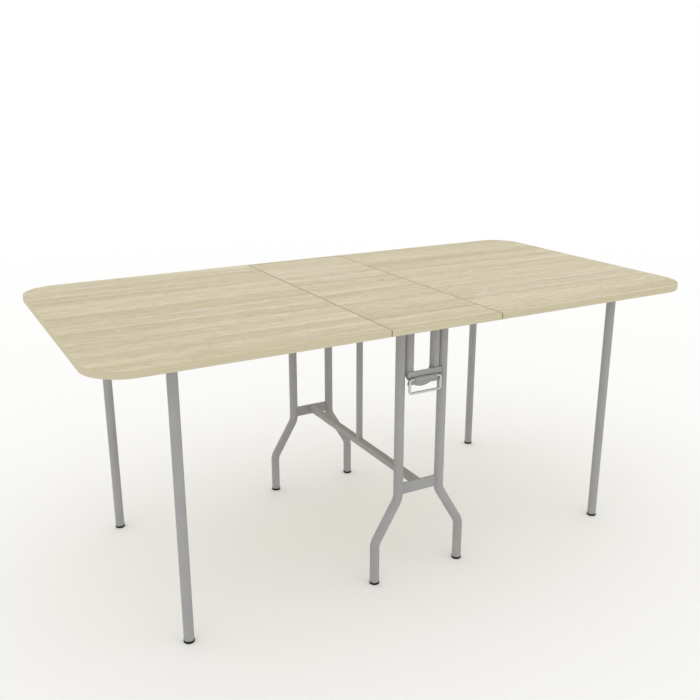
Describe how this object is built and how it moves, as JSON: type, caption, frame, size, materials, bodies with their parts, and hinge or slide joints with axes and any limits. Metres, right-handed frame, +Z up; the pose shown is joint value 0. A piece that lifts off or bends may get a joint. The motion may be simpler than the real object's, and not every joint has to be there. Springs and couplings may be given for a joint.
{
  "type": "butterfly folding table",
  "caption": "Drop-leaf folding table with a wood-grain top, grey tube legs that fold under the leaves, a bent tube middle frame and a wire carrying bail.",
  "frame": {"origin": "on the floor under the middle of the table", "axes": "+X along the table, +Y across it away from the carrying handle, +Z up"},
  "size_m": [1.707, 0.869, 0.74],
  "materials": {
    "wood_grain_board": "satin laminate",
    "edge_band": "satin",
    "grey_paint": "satin powder coat",
    "black_plastic": "matte",
    "bright_wire": "polished",
    "zinc_plated_steel": "zinc plated"
  },
  "bodies": {
    "middle_frame": {"centre_panel": "wood_grain_board", "centre_panel_edge_band": "edge_band", "near_left_upright": "grey_paint", "near_right_upright": "grey_paint", "far_left_upright": "grey_paint", "far_right_upright": "grey_paint", "near_crossbar": "grey_paint", "far_crossbar": "grey_paint", "stretcher_rail": "grey_paint", "centre_post": "grey_paint", "centre_post_flange": "grey_paint", "near_top_bar": "grey_paint", "far_top_bar": "grey_paint", "handle_loop": "grey_paint", "handle_plate": "grey_paint", "frame_screws": "zinc_plated_steel", "frame_glides": "black_plastic", "left_hinge_fixed_plates": "zinc_plated_steel", "left_hinge_pins": "zinc_plated_steel", "left_hinge_fixed_screws": "zinc_plated_steel", "right_hinge_fixed_plates": "zinc_plated_steel", "right_hinge_pins": "zinc_plated_steel", "right_hinge_fixed_screws": "zinc_plated_steel"},
    "left_leaf": {"left_leaf": "wood_grain_board", "left_leaf_edge_band": "edge_band", "left_hinge_moving_plates": "zinc_plated_steel", "left_hinge_moving_screws": "zinc_plated_steel", "near_left_leg_bracket": "grey_paint", "far_left_leg_bracket": "grey_paint", "left_pivot_bolts": "zinc_plated_steel", "left_lock_nuts": "zinc_plated_steel", "left_bracket_screws": "zinc_plated_steel"},
    "right_leaf": {"right_leaf": "wood_grain_board", "right_leaf_edge_band": "edge_band", "right_hinge_moving_plates": "zinc_plated_steel", "right_hinge_moving_screws": "zinc_plated_steel", "near_right_leg_bracket": "grey_paint", "far_right_leg_bracket": "grey_paint", "right_pivot_bolts": "zinc_plated_steel", "right_lock_nuts": "zinc_plated_steel", "right_bracket_screws": "zinc_plated_steel"},
    "near_left_leg": {"near_left_leg": "grey_paint", "near_left_leg_plug": "black_plastic", "near_left_stop_pin": "zinc_plated_steel", "near_left_leg_glide": "black_plastic"},
    "far_left_leg": {"far_left_leg": "grey_paint", "far_left_leg_plug": "black_plastic", "far_left_stop_pin": "zinc_plated_steel", "far_left_leg_glide": "black_plastic"},
    "near_right_leg": {"near_right_leg": "grey_paint", "near_right_leg_plug": "black_plastic", "near_right_stop_pin": "zinc_plated_steel", "near_right_leg_glide": "black_plastic"},
    "far_right_leg": {"far_right_leg": "grey_paint", "far_right_leg_plug": "black_plastic", "far_right_stop_pin": "zinc_plated_steel", "far_right_leg_glide": "black_plastic"},
    "bail": {"bail": "bright_wire"}
  },
  "joints": [
    {"name": "near_right_leg_fold", "type": "hinge", "parent": "right_leaf", "child": "near_right_leg", "pos_m": [0.6543, -0.3204, 0.703], "axis": [0.9981, 0.061, 0], "range_deg": [0, 90]},
    {"name": "far_right_leg_fold", "type": "hinge", "parent": "right_leaf", "child": "far_right_leg", "pos_m": [0.6543, 0.3204, 0.703], "axis": [-0.9981, -0.061, 0], "range_deg": [0, 90]},
    {"name": "right_leaf_fold", "type": "hinge", "parent": "middle_frame", "child": "right_leaf", "pos_m": [0.162, 0, 0.719], "axis": [0, 1, 0], "range_deg": [0, 90]},
    {"name": "near_left_leg_fold", "type": "hinge", "parent": "left_leaf", "child": "near_left_leg", "pos_m": [-0.6543, -0.3204, 0.703], "axis": [0.9981, 0.061, 0], "range_deg": [0, 90]},
    {"name": "far_left_leg_fold", "type": "hinge", "parent": "left_leaf", "child": "far_left_leg", "pos_m": [-0.6543, 0.3204, 0.703], "axis": [-0.9981, -0.061, 0], "range_deg": [0, 90]},
    {"name": "left_leaf_fold", "type": "hinge", "parent": "middle_frame", "child": "left_leaf", "pos_m": [-0.162, 0, 0.719], "axis": [0, -1, 0], "range_deg": [0, 90]},
    {"name": "bail_swing", "type": "hinge", "parent": "middle_frame", "child": "bail", "pos_m": [0, -0.339, 0.5685], "axis": [-1, 0, 0], "range_deg": [0, 150]}
  ],
  "couplings": [
    {"joint": "far_right_leg_fold", "follows": "near_right_leg_fold", "ratio": 1},
    {"joint": "right_leaf_fold", "follows": "near_right_leg_fold", "ratio": 0.8667},
    {"joint": "far_left_leg_fold", "follows": "near_left_leg_fold", "ratio": 1},
    {"joint": "left_leaf_fold", "follows": "near_left_leg_fold", "ratio": 0.8667}
  ]
}
